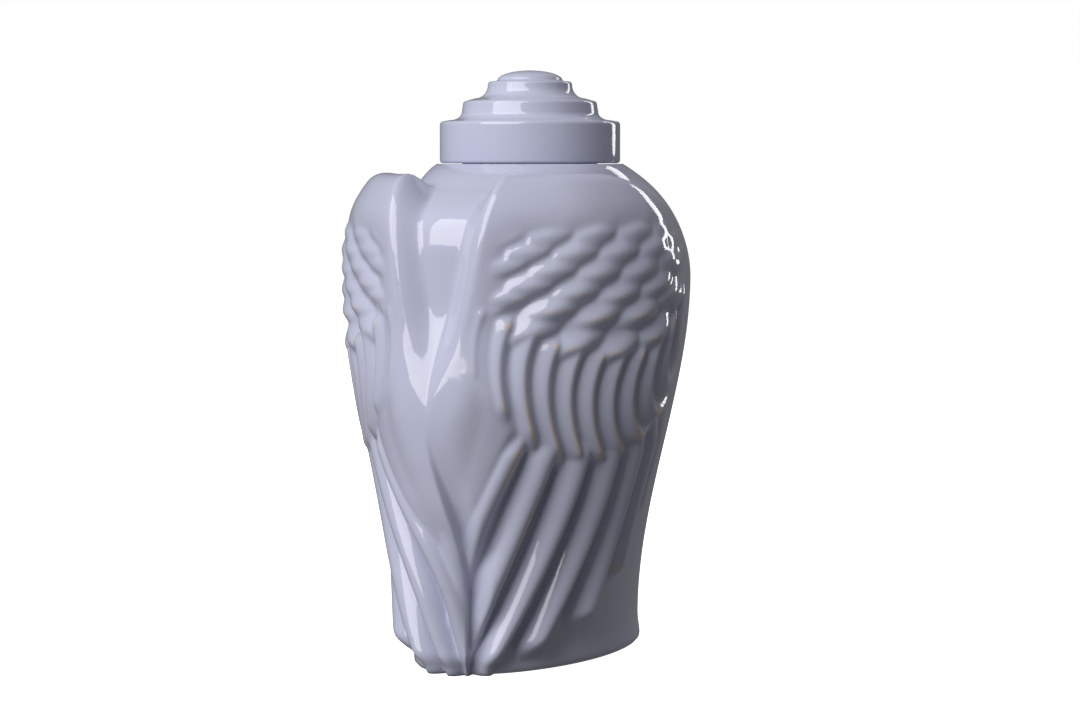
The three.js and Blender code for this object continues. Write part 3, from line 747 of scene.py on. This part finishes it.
def lid_profile():
    """Radius and height of the lid from its ceiling, over the flange and up the steps to the knob."""
    outer = MOUTH_RADIUS - FLANGE_CLEARANCE
    inner = outer - FLANGE_THICKNESS
    ceiling = [(0, LID_HEIGHT - LID_WALL), (KNOB_RADIUS - LID_WALL, UPPER_TIER_TOP - LID_WALL),
               (UPPER_TIER_RADIUS - LID_WALL, MIDDLE_TIER_TOP),
               (CEILING_STEP_RADIUS, MIDDLE_TIER_TOP - LID_WALL), (inner, CEILING_FOOT)]
    flange = [(inner, FLANGE_BEVEL - FLANGE_DEPTH), (inner + FLANGE_BEVEL, -FLANGE_DEPTH),
              (outer - FLANGE_BEVEL, -FLANGE_DEPTH), (outer, FLANGE_BEVEL - FLANGE_DEPTH), (outer, 0)]
    seat = [(SEAT_MIDDLE, 0), (LID_RADIUS - LID_EDGE, 0)]
    band_side = (LID_RADIUS, BAND_HEIGHT - BAND_EDGE)
    band = arc(seat[-1], (LID_RADIUS, LID_EDGE), -1, 4) + [(LID_RADIUS, BAND_MIDDLE), band_side]
    band += arc(band_side, (LID_RADIUS - LID_EDGE, BAND_HEIGHT), 1, 6)
    foot = (MIDDLE_TIER_RADIUS + TIER_HOLLOW, MIDDLE_TIER_FOOT)
    side = (MIDDLE_TIER_RADIUS - MIDDLE_TIER_LEAN, MIDDLE_TIER_TOP - MIDDLE_TIER_EDGE)
    middle = [foot] + arc(foot, (MIDDLE_TIER_RADIUS, MIDDLE_TIER_WAIST), -1, 8) + [side]
    middle += arc(side, (side[0] - LID_EDGE, MIDDLE_TIER_TOP), 1, 6)
    foot = (UPPER_TIER_RADIUS + TIER_HOLLOW, UPPER_TIER_FOOT)
    side = (UPPER_TIER_RADIUS, UPPER_TIER_TOP - LID_EDGE)
    upper = [foot] + arc(foot, side, -1, 8)
    upper += arc(side, (UPPER_TIER_RADIUS - LID_EDGE, UPPER_TIER_TOP), 1, 5)
    foot = (KNOB_RADIUS, KNOB_FOOT)
    knob = [(KNOB_RADIUS + KNOB_FOOT_SPREAD, KNOB_FOOT - KNOB_FOOT_RISE), foot]
    knob += arc(foot, (0, LID_HEIGHT), 1, 12)
    return ceiling + flange + seat + band + middle + upper + knob


def turned(name, profile, sides, material):
    """Turn a profile in millimetres round the upright axis into a closed smooth mesh."""
    mesh = bpy.data.meshes.new(name)
    work = bmesh.new()
    corners = [work.verts.new((radius * MM, 0, up * MM)) for radius, up in profile]
    edges = [work.edges.new(pair) for pair in zip(corners, corners[1:])]
    bmesh.ops.spin(work, geom=corners + edges, cent=(0, 0, 0), axis=(0, 0, 1), angle=2 * math.pi, steps=sides)
    bmesh.ops.remove_doubles(work, verts=work.verts, dist=1e-6)
    bmesh.ops.recalc_face_normals(work, faces=work.faces)
    for face in work.faces:
        face.smooth = True
    work.to_mesh(mesh)
    work.free()
    mesh.materials.append(material)
    piece = bpy.data.objects.new(name, mesh)
    bpy.context.scene.collection.objects.link(piece)
    return piece


lid_glaze = glaze("white lid glaze", None)
seated = [(radius, LID_SEAT + up) for radius, up in lid_profile()]
lid = turned("glazed_lid", seated, LID_SIDES, lid_glaze)
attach(lid, "root")
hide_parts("lid")

# Setting
# A white floor that lights nothing itself, and soft studio light: mostly from the upper left, with a
# tall strip on the right and a fill behind. The world is white to the camera and dim to the glaze.
FLOOR_HALF = 4
WORLD_LIGHT = 0.13
floor_mesh = bpy.data.meshes.new("floor")
corners = [(-FLOOR_HALF, -FLOOR_HALF, 0), (FLOOR_HALF, -FLOOR_HALF, 0), (FLOOR_HALF, FLOOR_HALF, 0),
           (-FLOOR_HALF, FLOOR_HALF, 0)]
floor_mesh.from_pydata(corners, [], [(0, 1, 2, 3)])
floor = bpy.data.objects.new("floor", floor_mesh)
bpy.context.scene.collection.objects.link(floor)
floor_paint = bpy.data.materials.new("white floor")
floor_paint.use_nodes = True
floor_shader = floor_paint.node_tree.nodes["Principled BSDF"]
floor_shader.inputs["Base Color"].default_value = (0.9, 0.9, 0.9, 1)
floor_shader.inputs["Roughness"].default_value = 0.8
floor_shader.inputs["Emission Color"].default_value = (1, 1, 1, 1)
floor_shader.inputs["Emission Strength"].default_value = 1
floor_mesh.materials.append(floor_paint)
floor.visible_diffuse = False
floor.visible_glossy = False

world = bpy.data.worlds.new("studio")
bpy.context.scene.world = world
world.use_nodes = True
sky = world.node_tree.nodes["Background"]
sky.inputs["Color"].default_value = (1, 1, 1, 1)
seen = add_node(world.node_tree, "ShaderNodeLightPath").outputs["Is Camera Ray"]
strength = add_node(world.node_tree, "ShaderNodeMapRange", {"Value": seen, "To Min": WORLD_LIGHT, "To Max": 1})
world.node_tree.links.new(strength.outputs[0], sky.inputs["Strength"])

VIEW_TURN = math.radians(27)
CAMERA_DISTANCE = 1.5516
CAMERA_HEIGHT = 0.2514
CAMERA_TILT = math.radians(3.71)
PHOTO_WIDTH = 1080
PHOTO_SHIFT = 10


def beside_camera(right, towards, up):
    """A place given from the urn's foot as the camera sees it: to the right, towards it, and up."""
    return Vector((
        right * math.cos(VIEW_TURN) + towards * math.sin(VIEW_TURN),
        right * math.sin(VIEW_TURN) - towards * math.cos(VIEW_TURN),
        up))


def soft_light(name, place, target, width, tall, power):
    """An area light at a place, turned to its target: width and height in metres, power in watts."""
    data = bpy.data.lights.new(name, "AREA")
    data.shape = "RECTANGLE"
    data.size = width
    data.size_y = tall
    data.energy = power
    lamp = bpy.data.objects.new(name, data)
    lamp.location = place
    lamp.rotation_euler = (target - place).to_track_quat("-Z", "Y").to_euler()
    bpy.context.scene.collection.objects.link(lamp)
    return lamp


urn_middle = Vector((0, 0, 0.15))
soft_light("key", beside_camera(-1.0, 1.15, 1.3), urn_middle, width=1.8, tall=1.8, power=46)
soft_light("right strip", beside_camera(1.0, -0.95, 0.65), urn_middle, width=0.25, tall=1, power=4)
behind_urn = beside_camera(0.4, -2.0, 1.4)
back_fill = soft_light("back fill", behind_urn, urn_middle, width=1.6, tall=1.6, power=20)
back_fill.visible_glossy = False
bpy.context.scene.view_settings.view_transform = "Standard"

camera_data = bpy.data.cameras.new("camera")
camera_data.lens = 100
camera_data.sensor_width = 36
camera_data.shift_x = PHOTO_SHIFT / PHOTO_WIDTH
camera = bpy.data.objects.new("camera", camera_data)
camera.location = beside_camera(0, CAMERA_DISTANCE, CAMERA_HEIGHT)
camera.rotation_euler = (math.pi / 2 - CAMERA_TILT, 0, VIEW_TURN)
bpy.context.scene.collection.objects.link(camera)
bpy.context.scene.camera = camera
